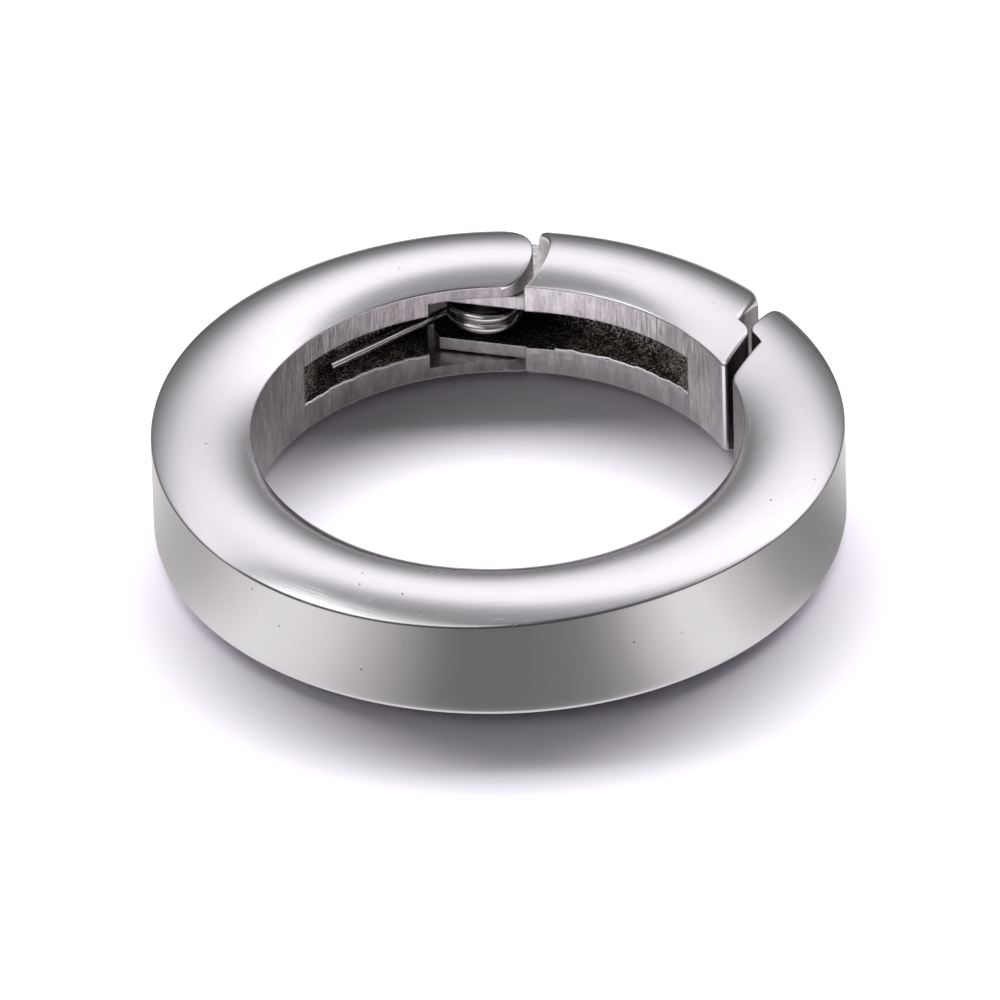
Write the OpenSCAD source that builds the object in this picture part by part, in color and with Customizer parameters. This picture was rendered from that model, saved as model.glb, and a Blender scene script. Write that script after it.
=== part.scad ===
// Spring gate ring: a flat ring with domed faces, one quarter of which swings inward as a gate.
// Millimetres, +Z up, origin on the ring's axis at the surface that the ring lies on.
// The hinge is on the +Y side and the gate runs clockwise from it, seen from above.

/* [Ring] */
// Outside diameter of the ring
ring_outer_d = 20; // [19:0.1:22]
// Width of the band between the outer wall and the eye
band_w = 2.9; // [2.7:0.05:3.2]
// Height of the straight inner and outer walls
wall_h = 3; // [2.9:0.1:4]
// Rise of the domed faces above the walls
dome_rise = 0.5; // [0.3:0.05:0.8]
// Width of the flat that breaks the outer edges
edge_break = 0.1; // [0.05:0.01:0.2]

/* [Hinge] */
// How far the pivot lies inward of the middle of the band
pivot_in = 0.15; // [0:0.05:0.25]
// Diameter of the pivot pin
pin_d = 1.2; // [1:0.05:1.3]
// Depth of the pin in the upper cheek
pin_bite = 0.5; // [0.3:0.05:0.6]
// Space left above the pin in its blind hole
pin_end_gap = 0.05; // [0.02:0.01:0.1]
// Radial play of the pin in the tongue
pin_play = 0.03; // [0.02:0.01:0.06]
// Height of the gate's tongue between the cheeks
tongue_h = 2.16; // [2:0.02:2.3]
// Play between the tongue and each cheek
tongue_play = 0.05; // [0.03:0.01:0.1]
// Radius of the tongue's round end
tongue_r = 1.5; // [1.35:0.05:1.6]
// Direction, seen from the ring's axis, in which the tongue's straight inner wall leaves the eye's wall
tongue_flat = 74; // [70:0.5:78]
// Space between the tongue's round end and the bottom of the slot
slot_gap = 0.2; // [0.1:0.05:0.4]
// Direction, seen from the pivot, in which the wall round the coil ends
web_end = 130; // [110:1:132]
// How far the cheeks' rounded nose is centred behind the pivot
nose_back = 0.16; // [0.1:0.02:0.3]
// How far the nose and its rounding would reach past the walls on which they run out
nose_over = 0.01; // [0.005:0.005:0.03]
// Radius of the rounding between the nose and the eye's wall
nose_fillet = 0.7; // [0.3:0.05:0.9]
// How much larger the gate's hollow shoulder is than the nose, in radius
shoulder_gap = 0.32; // [0.24:0.01:0.44]
// How far the shoulder is centred outward of the pivot
shoulder_shift = 0.2; // [0.1:0.05:0.3]

/* [Latch] */
// Distance from the pivot to the gate's end, on its outer half
gate_reach = 8.35; // [8:0.05:8.6]
// Length of the gate's lip, on its inner half
lip_l = 0.6; // [0.55:0.05:0.8]
// Gap between the gate's end and the body
latch_gap = 0.5; // [0.3:0.05:0.5]
// How far the lap of the two lips lies inward of the middle of the band
lap_in = 0.25; // [-0.25:0.05:0.45]
// Play between the two lips
lap_play = 0.04; // [0.03:0.01:0.1]

/* [Spring] */
// Diameter of the spring wire
wire_d = 0.34; // [0.26:0.02:0.36]
// Mean diameter of the coil
coil_d = 1.92; // [1.85:0.05:2.2]
// Whole turns of the coil
full_turns = 2; // [1:1:2]
// Gap between neighbouring turns
turn_gap = 0.02; // [0.01:0.01:0.04]
// Slope of the legs, inward from the hinge
leg_slope = 36; // [34:0.5:38]
// Length of each leg
leg_l = 5.05; // [4.5:0.05:5.3]

/* [Spring pockets] */
// Room above and below the coil in the body's pocket
body_room = 0.134; // [0.084:0.01:0.334]
// Room above and below the coil in the gate's pocket
gate_room = 0.084; // [0.064:0.01:0.134]
// Play between a leg and the wall that it presses on
leg_play = 0.02; // [0.01:0.01:0.05]
// Space past a leg's tip
pocket_end_gap = 0.25; // [0.15:0.05:0.4]
// Direction, seen from the ring's axis, in which the body's pocket ends
body_pocket_end = 140; // [138:1:144]
// Direction, seen from the ring's axis, in which the gate's pocket ends
gate_pocket_end = 36.5; // [36:0.5:42]

/* [Hidden] */
$fn = 180;
wire_sides = 12;
steps_per_turn = 24;
// Room by which a cutting shape reaches past what it cuts
past = 1;
// The band
ring_inner_d = ring_outer_d - 2 * band_w;
outer_r = ring_outer_d / 2;
inner_r = ring_inner_d / 2;
half_w = band_w / 2;
mid_r = inner_r + half_w;
ring_h = wall_h + 2 * dome_rise;
mid_z = ring_h / 2;
// The dome is an arc over the width of the band
dome_r = (half_w ^ 2 + dome_rise ^ 2) / (2 * dome_rise);
dome_z = ring_h - dome_r;
dome_slope = asin(half_w / dome_r);
// The break turns half way from the wall to the dome
edge_turn = (90 - dome_slope) / 2;
edge_depth = edge_break / 2 * tan(edge_turn);
// The hinge
pivot_r = mid_r - pivot_in;
pivot = [0, pivot_r];
nose_centre = pivot - [nose_back, 0];
nose_r = outer_r - pivot_r + nose_over;
fillet_far = inner_r + nose_fillet;
fillet_turn = acos((fillet_far ^ 2 + nose_centre * nose_centre - (nose_r - nose_fillet) ^ 2)
    / (2 * fillet_far * norm(nose_centre)));
fillet_direction = atan2(nose_centre.y, nose_centre.x) - fillet_turn;
fillet_centre = fillet_far * [cos(fillet_direction), sin(fillet_direction)];
slot_h = tongue_h + 2 * tongue_play;
slot_r = tongue_r + slot_gap;
shoulder_centre = pivot + [0, shoulder_shift];
shoulder_r = nose_r + shoulder_gap;
pin_top = mid_z + slot_h / 2 + pin_bite;
// The latch
body_reach = gate_reach + latch_gap;
lap_r = mid_r - lap_in;
// The spring
wire_r = wire_d / 2;
coil_r = coil_d / 2;
turn_angle = full_turns * 360 + 2 * leg_slope;
coil_rise = turn_angle / 360 * (wire_d + turn_gap);
coil_h = coil_rise + wire_d;
coil_steps = ceil(turn_angle / 360 * steps_per_turn);
leg_out = [sin(leg_slope), cos(leg_slope)];
leg_along = [cos(leg_slope), -sin(leg_slope)];
// The pockets
back_wall = coil_r + wire_r + leg_play;
body_pocket_h = coil_h + 2 * body_room;
gate_pocket_h = coil_h + 2 * gate_room;

function unit(v) = v / norm(v);

// Extrudes a plan to an even height above and below the middle of the ring
module slab(height) {
    translate([0, 0, mid_z - height / 2]) linear_extrude(height) children();
}

// Half of the plan, on the +X side of a line along Y
module right_of(x) {
    translate([x, -ring_outer_d]) square(2 * ring_outer_d);
}

// Everything under the domed top face, in the section of the band
module under_dome() {
    translate([mid_r, dome_z]) circle(dome_r);
    translate([mid_r - 2 * dome_r, dome_z - ring_h - dome_r]) square([4 * dome_r, ring_h + dome_r]);
}

// What the break takes off the outer edge of the top face
module edge_cut() {
    translate([outer_r, ring_h - dome_rise]) rotate(edge_turn)
        translate([-edge_depth, -past]) square(2 * past);
}

// The upper half of the band's section is mirrored to make the lower half
module band_section() {
    difference() {
        intersection() {
            translate([inner_r, 0]) square([band_w, ring_h]);
            under_dome();
            translate([0, ring_h]) mirror([0, 1]) under_dome();
        }
        edge_cut();
        translate([0, ring_h]) mirror([0, 1]) edge_cut();
    }
}

module whole_ring() {
    rotate_extrude() band_section();
}

// Plan of the space between hinge and latch: an outer and a longer inner arc about the pivot
module between_hinge_and_latch(reach, lap) {
    translate(pivot) circle(reach);
    intersection() {
        translate(pivot) circle(reach + lip_l);
        circle(lap);
    }
}

// Plan of what the rounding takes off the corner between the nose and the eye's wall
module nose_corner() {
    to_eye = -2 * nose_fillet * unit(fillet_centre);
    to_nose = 2 * nose_fillet * unit(fillet_centre - nose_centre);
    translate(fillet_centre) difference() {
        polygon([[0, 0], to_eye, to_eye + to_nose, to_nose]);
        circle(nose_fillet + nose_over);
    }
}

// Half of the plan, on the eye's side of the tongue's straight inner wall
module before_tongue() {
    rotate(tongue_flat) translate([inner_r - ring_outer_d, -ring_outer_d / 2]) square(ring_outer_d);
}

// Plan of the slot between the cheeks: round on the outside, flat and open on the inside
module slot_plan() {
    translate(pivot) circle(slot_r);
    translate([-slot_r, inner_r - slot_r]) square([2 * slot_r, pivot_r - inner_r + slot_r]);
}

// Plan of the pocket for the coil and the right-hand leg, which the left-hand pocket mirrors
module pocket_plan(end_direction) {
    start = pivot + back_wall * leg_out;
    corner = start + (leg_l + pocket_end_gap) * leg_along;
    mouth = inner_r * [cos(end_direction), sin(end_direction)];
    inside = mouth + wire_d * unit(mouth - corner);
    coil_way_out = pivot + 2 * tongue_r * [cos(web_end), sin(web_end)];
    polygon([pivot, start, corner, inside, [0, 0], [-2 * tongue_r, inner_r / 2], coil_way_out]);
    translate(pivot) circle(back_wall);
}

module pin_hole(radius, top) {
    translate([pivot.x, pivot.y, -past]) cylinder(r = radius, h = top + past);
}

module ring_body() {
    color("#c9cbce") difference() {
        whole_ring();
        slab(ring_h + 2 * past) difference() {
            intersection() {
                right_of(nose_centre.x);
                between_hinge_and_latch(body_reach, lap_r + lap_play);
            }
            translate(nose_centre) circle(nose_r);
        }
        slab(ring_h + 2 * past) nose_corner();
        slab(slot_h) slot_plan();
        slab(body_pocket_h) mirror([1, 0]) pocket_plan(180 - body_pocket_end);
        pin_hole(pin_d / 2, pin_top + pin_end_gap);
    }
}

module gate() {
    color("#c3c5c9") difference() {
        intersection() {
            whole_ring();
            union() {
                slab(ring_h + 2 * past) difference() {
                    intersection() {
                        right_of(0);
                        between_hinge_and_latch(gate_reach, lap_r);
                    }
                    translate(shoulder_centre) circle(shoulder_r);
                }
                slab(tongue_h) difference() {
                    union() {
                        translate(pivot) circle(tongue_r);
                        intersection() {
                            right_of(0);
                            translate(shoulder_centre) circle(shoulder_r + wire_d);
                        }
                    }
                    before_tongue();
                }
            }
        }
        slab(gate_pocket_h) pocket_plan(gate_pocket_end);
        pin_hole(pin_d / 2 + pin_play, ring_h);
    }
}

// Points along the wire: leg in the body, clockwise rising coil, leg in the gate
function wire_path() = let (
        low = mid_z - coil_rise / 2,
        first = 90 + leg_slope,
        tip = pivot + coil_r * leg_out + leg_l * leg_along
    ) [
        [-tip.x, tip.y, low],
        for (i = [0:coil_steps]) let (a = first - turn_angle * i / coil_steps)
            [pivot.x + coil_r * cos(a), pivot.y + coil_r * sin(a), low + coil_rise * i / coil_steps],
        [tip.x, tip.y, low + coil_rise]
    ];

// Direction of the wire at a point, half way between its two neighbouring stretches
function wire_direction(path, i) = let (
        last = len(path) - 1,
        before = unit(path[max(i, 1)] - path[max(i, 1) - 1]),
        after = unit(path[min(i, last - 1) + 1] - path[min(i, last - 1)])
    ) unit(before + after);

module torsion_spring() {
    path = wire_path();
    rings = len(path);
    points = [
        for (i = [0:rings - 1]) let (
            along = wire_direction(path, i),
            side = unit(cross(along, [0, 0, 1])),
            up = cross(side, along)
        ) for (k = [0:wire_sides - 1]) let (a = 360 * k / wire_sides)
            path[i] + wire_r * (cos(a) * side + sin(a) * up)
    ];
    walls = [
        for (i = [0:rings - 2], k = [0:wire_sides - 1]) let (
            here = i * wire_sides,
            next = (k + 1) % wire_sides
        ) [here + k, here + next, here + wire_sides + next, here + wire_sides + k]
    ];
    first_end = [for (k = [wire_sides - 1:-1:0]) k];
    last_end = [for (k = [0:wire_sides - 1]) (rings - 1) * wire_sides + k];
    color("#b9bcc2") polyhedron(points, concat(walls, [first_end, last_end]));
}

module pivot_pin() {
    color("#aeb1b6") intersection() {
        whole_ring();
        pin_hole(pin_d / 2, pin_top);
    }
}

ring_body();
gate();
torsion_spring();
pivot_pin();
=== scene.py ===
import math
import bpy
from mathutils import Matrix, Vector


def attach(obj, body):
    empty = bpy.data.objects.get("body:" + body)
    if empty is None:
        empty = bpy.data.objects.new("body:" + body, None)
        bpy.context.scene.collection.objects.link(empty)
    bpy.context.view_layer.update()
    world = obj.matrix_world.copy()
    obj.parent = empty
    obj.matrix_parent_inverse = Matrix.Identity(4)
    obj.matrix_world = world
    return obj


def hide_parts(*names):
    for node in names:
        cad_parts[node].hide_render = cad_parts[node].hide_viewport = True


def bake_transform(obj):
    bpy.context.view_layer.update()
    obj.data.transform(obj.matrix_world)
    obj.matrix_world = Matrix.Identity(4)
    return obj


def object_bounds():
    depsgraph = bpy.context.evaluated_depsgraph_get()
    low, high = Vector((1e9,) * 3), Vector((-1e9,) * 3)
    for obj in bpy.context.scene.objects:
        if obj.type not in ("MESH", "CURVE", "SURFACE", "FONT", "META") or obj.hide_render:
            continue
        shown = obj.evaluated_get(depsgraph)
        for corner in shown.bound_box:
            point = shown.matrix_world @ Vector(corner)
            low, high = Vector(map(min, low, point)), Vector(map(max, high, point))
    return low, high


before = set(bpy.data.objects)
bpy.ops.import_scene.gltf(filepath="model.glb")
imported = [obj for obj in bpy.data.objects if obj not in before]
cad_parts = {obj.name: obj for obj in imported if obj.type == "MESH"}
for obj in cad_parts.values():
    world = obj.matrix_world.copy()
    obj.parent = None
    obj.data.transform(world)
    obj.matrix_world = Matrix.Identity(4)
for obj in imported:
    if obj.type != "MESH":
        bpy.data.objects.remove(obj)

from types import SimpleNamespace

import bmesh
import bpy
import numpy as np
from bpy.props import FloatProperty, FloatVectorProperty, IntProperty, PointerProperty
from mathutils import Matrix, Vector

bl_info = {
    "name": "Spring gate ring",
    "version": (1, 0, 0),
    "blender": (4, 5, 0),
    "location": "3D View > Sidebar > Gate Ring",
    "description": "Builds a polished ring with a sprung gate on a pale studio floor",
    "category": "Add Mesh",
}

MM = 0.001
CAD_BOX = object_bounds()
# The photograph's frame: its width in pixels, and the focal length in the same pixels
FRAME_PX = 1000
FOCAL_PX = 16002
# Places of the finishes in the material lists of body and gate, where 2 is the pockets' cast skin
BUFFED, GROUND, FILED = 0, 1, 3
# Rows, points and sides of the meshes
DOME_ROWS = 37
INNER_EDGE_POINTS = 5
OUTER_EDGE_POINTS = 7
CORNER_ROWS = 7
END_BENDS = 8
LIP_COLUMNS = 6
WEB_POINTS = 40
SLOT_POINTS = 64
TONGUE_POINTS = 64
TONGUE_ROOT_POINTS = 40
TONGUE_WALL_POINTS = 30
PIN_SIDES = 96
LEG_SPANS = 24
COIL_POINTS = 160
BURR_POINTS = 120


def linear(hex_colour):
    """Linear RGB of an sRGB hex colour."""
    parts = [int(hex_colour[i:i + 2], 16) / 255 for i in (0, 2, 4)]
    return [c / 12.92 if c <= 0.04045 else ((c + 0.055) / 1.055) ** 2.4 for c in parts]


def length(name, description, millimetres):
    """A size that a user can change, in the scene's length unit."""
    return FloatProperty(
        name=name, description=description, default=millimetres * MM, precision=5, unit="LENGTH")


def angle(name, description, degrees):
    """A direction or slope that a user can change."""
    return FloatProperty(
        name=name, description=description, default=math.radians(degrees), subtype="ANGLE")


def colour(name, description, hex_colour):
    """A colour that a user can change."""
    return FloatVectorProperty(
        name=name, description=description, default=linear(hex_colour), size=3, min=0, max=1, subtype="COLOR")


class GateRingSizes(bpy.types.PropertyGroup):
    """Sizes of the ring, its hinge, latch and spring."""

    outer_d: length("Outside diameter", "Outside diameter of the ring", (CAD_BOX[1].x - CAD_BOX[0].x) / MM)
    band_w: length("Band width", "Width of the band between the outer wall and the eye", 2.9)
    ring_h: length("Ring height", "Height over both domed faces", (CAD_BOX[1].z - CAD_BOX[0].z) / MM)
    dome_rise: length("Dome rise", "Rise of the domed faces above the walls", 0.5)
    outer_break: length("Outer edge", "Width of the rounding between dome and outer wall", 0.13)
    inner_break: length("Inner edge", "Width of the rounding between dome and eye", 0.07)
    end_break: length("End edges", "Radius of the rounded outer edges at the ends of body and gate", 0.3)
    end_corner: length("End corners", "Plan radius of the outer corners at the ends of body and gate", 0.45)
    tongue_break: length("Tongue edges", "Rounding of the edges of the gate's tongue", 0.16)
    latch_break: length("Latch edge break", "Rounding of the edges of the latch's ends near the eye", 0.12)
    latch_corner: length("Latch corner", "Plan rounding of the lips' corners and the latch at the eye", 0.2)
    nose_break: length("Nose edge", "Radius of the rounded outer edge of the cheeks' nose", 0.18)
    edge_sway: length("Edge sway", "How far the upper outer edge sways up and down from hand polishing", 0.2)
    burr_d: length("Burr", "Thickness of the burrs along the lower lips of the pockets", 0.11)
    pivot_in: length("Pivot inset", "How far the pivot lies inward of the middle of the band", 0.15)
    pin_d: length("Pin diameter", "Diameter of the pivot pin", 1.2)
    pin_top: length("Pin top", "Height of the pin's blind end", 3.63)
    pin_play: length("Pin play", "Radial play of the pin in the gate", 0.03)
    pin_seam: length("Pin seam", "Width of the hairline round the pin's flush end", 0.012)
    nose_back: length("Nose offset", "How far the cheeks' nose is centred behind the pivot", 0.16)
    nose_r: length("Nose radius", "Radius of the cheeks' rounded nose", 1.61)
    nose_fillet: length("Nose fillet", "Radius of the rounding between the nose and the eye's wall", 0.7)
    shoulder_r: length("Shoulder radius", "Radius of the gate's hollow shoulder", 1.93)
    shoulder_shift: length("Shoulder offset", "How far the shoulder is centred outward of the pivot", 0.2)
    tongue_h: length("Tongue height", "Height of the gate's tongue between the cheeks", 2.16)
    tongue_r: length("Tongue radius", "Radius of the tongue's round end", 1.5)
    tongue_flat: angle("Tongue flat", "Direction in which the tongue's flat leaves the eye's wall", 74)
    tongue_inset: length("Tongue inset", "How far the tongue's walls lie behind the gate's walls", 0.012)
    slot_h: length("Slot height", "Height of the slot between the cheeks", 2.26)
    slot_r: length("Slot radius", "Radius of the slot between the cheeks", 1.7)
    gate_reach: length("Gate reach", "Distance from the pivot to the gate's end", 8.35)
    lip_l: length("Lip length", "Length of the lips that lap at the latch", 0.6)
    latch_gap: length("Latch gap", "Gap between the gate's end and the body", 0.5)
    lap_in: length("Lap inset", "How far the lap lies inward of the middle of the band", 0.25)
    lap_play: length("Lap play", "Play between the two lips", 0.04)
    wire_d: length("Wire diameter", "Diameter of the spring wire", 0.34)
    coil_d: length("Coil diameter", "Mean diameter of the coil", 1.92)
    full_turns: IntProperty(name="Whole turns", description="Whole turns of the coil", default=2)
    turn_gap: length("Turn gap", "Gap between neighbouring turns", 0.02)
    leg_slope: angle("Leg slope", "Slope of the legs, inward from the hinge", 36)
    leg_l: length("Leg length", "Length of each leg", 5.05)
    leg_play: length("Leg play", "Play between a leg and the wall that it presses on", 0.02)
    body_pocket_h: length("Body pocket", "Height of the body's spring pocket", 1.4)
    gate_pocket_h: length("Gate pocket", "Height of the gate's spring pocket", 1.3)
    pocket_end_gap: length("Pocket end gap", "Space past a leg's tip", 0.25)
    body_pocket_end: angle("Body pocket end", "Direction in which the body's pocket ends", 140)
    gate_pocket_end: angle("Gate pocket end", "Direction in which the gate's pocket ends", 36.5)
    web_end: angle("Web end", "Direction, seen from the pivot, in which the wall round the coil ends", 130)


class GateRingColours(bpy.types.PropertyGroup):
    """Colours of the finishes and the floor."""

    polished: colour("Polished steel", "Buffed outside of body and gate", "DDDADE")
    pit: colour("Open pits", "Small pits that the polishing left in the casting", "7C7678")
    ground: colour("Ground steel", "Ground wall of the eye", "EEEAEB")
    stained: colour("Stained steel", "Duller streaks of the ground wall", "BEB9BA")
    # The filed ends are darker partly for their filed finish and partly as painted shade in the narrow latch
    # gap
    filed: colour("Filed steel", "Filed ends at the latch", "908B8D")
    grime_and_shade: colour("Grimy steel", "Dark streaks of the filed ends", "757072")
    cast: colour("Cast skin", "Rough walls of the spring pockets", "DAD3CD")
    scale: colour("Casting scale", "Dark scale in the hollows of the cast skin", "48413C")
    # Painted shade: an almost black tone round the coil, where the spring pockets lie deep between the parts
    coil_shade: colour("Old grease", "Grease and dirt in the pockets round the coil", "201D1B")
    wire: colour("Spring wire", "Bright drawn wire", "DAD7D6")
    pin: colour("Pin steel", "Turned pin", "BEBFC2")
    floor: colour("Floor", "Studio floor", "F2EEF5")


def ring_form(s):
    """The sizes with the radii, heights and plan points that follow from them."""
    f = SimpleNamespace(**{key: getattr(s, key) for key in s.__annotations__})
    f.outer_r = f.outer_d / 2
    f.inner_r = f.outer_r - f.band_w
    f.mid_r = f.outer_r - f.band_w / 2
    f.mid_z = f.ring_h / 2
    f.dome_r = ((f.band_w / 2) ** 2 + f.dome_rise ** 2) / (2 * f.dome_rise)
    f.dome_half = math.asin(f.band_w / 2 / f.dome_r)
    f.pivot = np.array([0, f.mid_r - f.pivot_in])
    f.nose_centre = f.pivot - [f.nose_back, 0]
    fillet_far, fillet_reach = f.inner_r + f.nose_fillet, f.nose_r - f.nose_fillet
    fillet_way = plan_crossing(fillet_far, f.nose_centre, fillet_reach)
    f.fillet_centre = fillet_far * np.array([math.cos(fillet_way), math.sin(fillet_way)])
    f.shoulder_centre = f.pivot + [0, f.shoulder_shift]
    f.lap_r = f.mid_r - f.lap_in
    f.coil_r = f.coil_d / 2
    f.turn_angle = f.full_turns * 2 * math.pi + 2 * f.leg_slope
    f.coil_rise = f.turn_angle / (2 * math.pi) * (f.wire_d + f.turn_gap)
    f.leg_out = np.array([math.sin(f.leg_slope), math.cos(f.leg_slope)])
    f.leg_along = np.array([math.cos(f.leg_slope), -math.sin(f.leg_slope)])
    f.back_wall = f.coil_r + f.wire_d / 2 + f.leg_play
    return f


def dome_height(f, radius):
    """Height of the upper dome at a distance from the ring's axis."""
    return f.ring_h - f.dome_r + np.sqrt(f.dome_r ** 2 - (radius - f.mid_r) ** 2)


def rounded_corner(corner, before, after, width, steps):
    """Points of the arc that rounds a clockwise corner between two directions; width is across its ends."""
    turn = math.acos(np.dot(before, after))
    radius = width / (2 * math.sin(turn / 2))
    start = corner - before * radius * math.tan(turn / 2)
    centre = start + np.array([before[1], -before[0]]) * radius
    spoke = start - centre
    angles = -np.linspace(0, turn, steps)
    return [centre + [spoke[0] * math.cos(a) - spoke[1] * math.sin(a),
                      spoke[0] * math.sin(a) + spoke[1] * math.cos(a)] for a in angles]


def top_rows(f, step_r):
    """Rows of the upper face from the eye to the outer wall, as radius and height, and the step's row."""
    wall_top = f.ring_h - f.dome_rise
    up, down = np.array([0.0, 1.0]), np.array([0.0, -1.0])
    rise = np.array([math.cos(f.dome_half), math.sin(f.dome_half)])
    fall = rise * [1, -1]
    inner = rounded_corner(np.array([f.inner_r, wall_top]), up, rise, f.inner_break, INNER_EDGE_POINTS)
    outer = rounded_corner(np.array([f.outer_r, wall_top]), fall, down, f.outer_break, OUTER_EDGE_POINTS)
    edge_room, step_room = 0.03 * MM, 1.1 * f.latch_corner
    radii = f.mid_r + f.dome_r * np.sin(np.linspace(-f.dome_half, f.dome_half, DOME_ROWS))
    radii = [r for r in radii if inner[-1][0] + edge_room < r < outer[0][0] - edge_room
             and abs(r - step_r) > step_room]
    # Closer rows at the step, for its rounded corners
    close = f.latch_corner * (1 - np.cos(np.linspace(0, math.pi / 2, CORNER_ROWS)))
    radii = sorted([*radii, step_r, *(step_r - close[1:]), *(step_r + close[1:])])
    rows = inner + [np.array([r, dome_height(f, r)]) for r in radii] + outer
    return rows, len(inner) + radii.index(step_r)


def plan_crossing(radius, centre, reach):
    """Angle at which a circle round the ring's axis meets a plan circle, on that one's clockwise side."""
    far = math.hypot(*centre)
    share = (radius ** 2 + far ** 2 - reach ** 2) / (2 * radius * far)
    return math.atan2(centre[1], centre[0]) - math.acos(min(share, 1))


def cornered(end, back, *corners):
    """An end's plan curve with its corners rounded, drawn back in that direction. A corner is its distance
    from the ring's axis, the side that it faces (1 outwards, -1 to the axis) and its rounding."""
    def rounded_end(radius):
        turn = end(radius)
        for place, side, size in corners:
            past = min(max(size - side * (place - radius), 0), size)
            turn += back * (size - math.sqrt(size ** 2 - past ** 2)) / radius
        return turn
    return rounded_end


def mesh_object(name, verts, faces, materials=(), face_materials=None):
    """A new linked object with an outward-facing mesh."""
    mesh = bpy.data.meshes.new(name)
    mesh.from_pydata([tuple(v) for v in verts], [], faces)
    for material in materials:
        mesh.materials.append(material)
    if face_materials is not None:
        mesh.polygons.foreach_set("material_index", face_materials)
    shape = bmesh.new()
    shape.from_mesh(mesh)
    bmesh.ops.recalc_face_normals(shape, faces=shape.faces)
    shape.to_mesh(mesh)
    shape.free()
    made = bpy.data.objects.new(name, mesh)
    bpy.context.scene.collection.objects.link(made)
    return made


def bake_modifiers(piece):
    """Turns what the modifiers make of a piece into its plain mesh."""
    graph = bpy.context.evaluated_depsgraph_get()
    mesh = bpy.data.meshes.new_from_object(piece.evaluated_get(graph))
    if not mesh.polygons:
        raise RuntimeError(f"{piece.name} came out empty")
    old = piece.data
    piece.modifiers.clear()
    piece.data = mesh
    mesh.name = piece.name
    bpy.data.meshes.remove(old)
    return piece


def combine(piece, tool, operation):
    """Joins a tool solid to a piece or cuts it away; cut faces keep the tool's finish."""
    step = piece.modifiers.new("Combine", "BOOLEAN")
    step.solver = "EXACT"
    step.operation = operation
    step.object = tool
    step.material_mode = "TRANSFER"
    bake_modifiers(piece)
    bpy.data.objects.remove(tool)


def prism(name, outline, low, high, material):
    """A solid with a plan outline between two heights."""
    n = len(outline)
    verts = [(*p, low) for p in outline] + [(*p, high) for p in outline]
    sides = [(i, (i + 1) % n, n + (i + 1) % n, n + i) for i in range(n)]
    return mesh_object(name, verts, [tuple(range(n)), tuple(range(n, 2 * n)), *sides], [material])


def arc_points(centre, radius, first, last, steps):
    """Plan points along an arc."""
    return [np.array(centre) + radius * np.array([math.cos(a), math.sin(a)])
            for a in np.linspace(first, last, steps)]


def sway(f, radius, turn):
    """Sway of the upper face near its outer edge from hand polishing: down at front left, up at the right."""
    share = max((radius - f.mid_r) / (f.outer_r - f.mid_r), 0) ** 2
    front = (1 - math.sin(turn)) / 2
    highest = math.radians(308)
    return f.edge_sway * share * front * math.cos(2 * (turn - highest))


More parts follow.
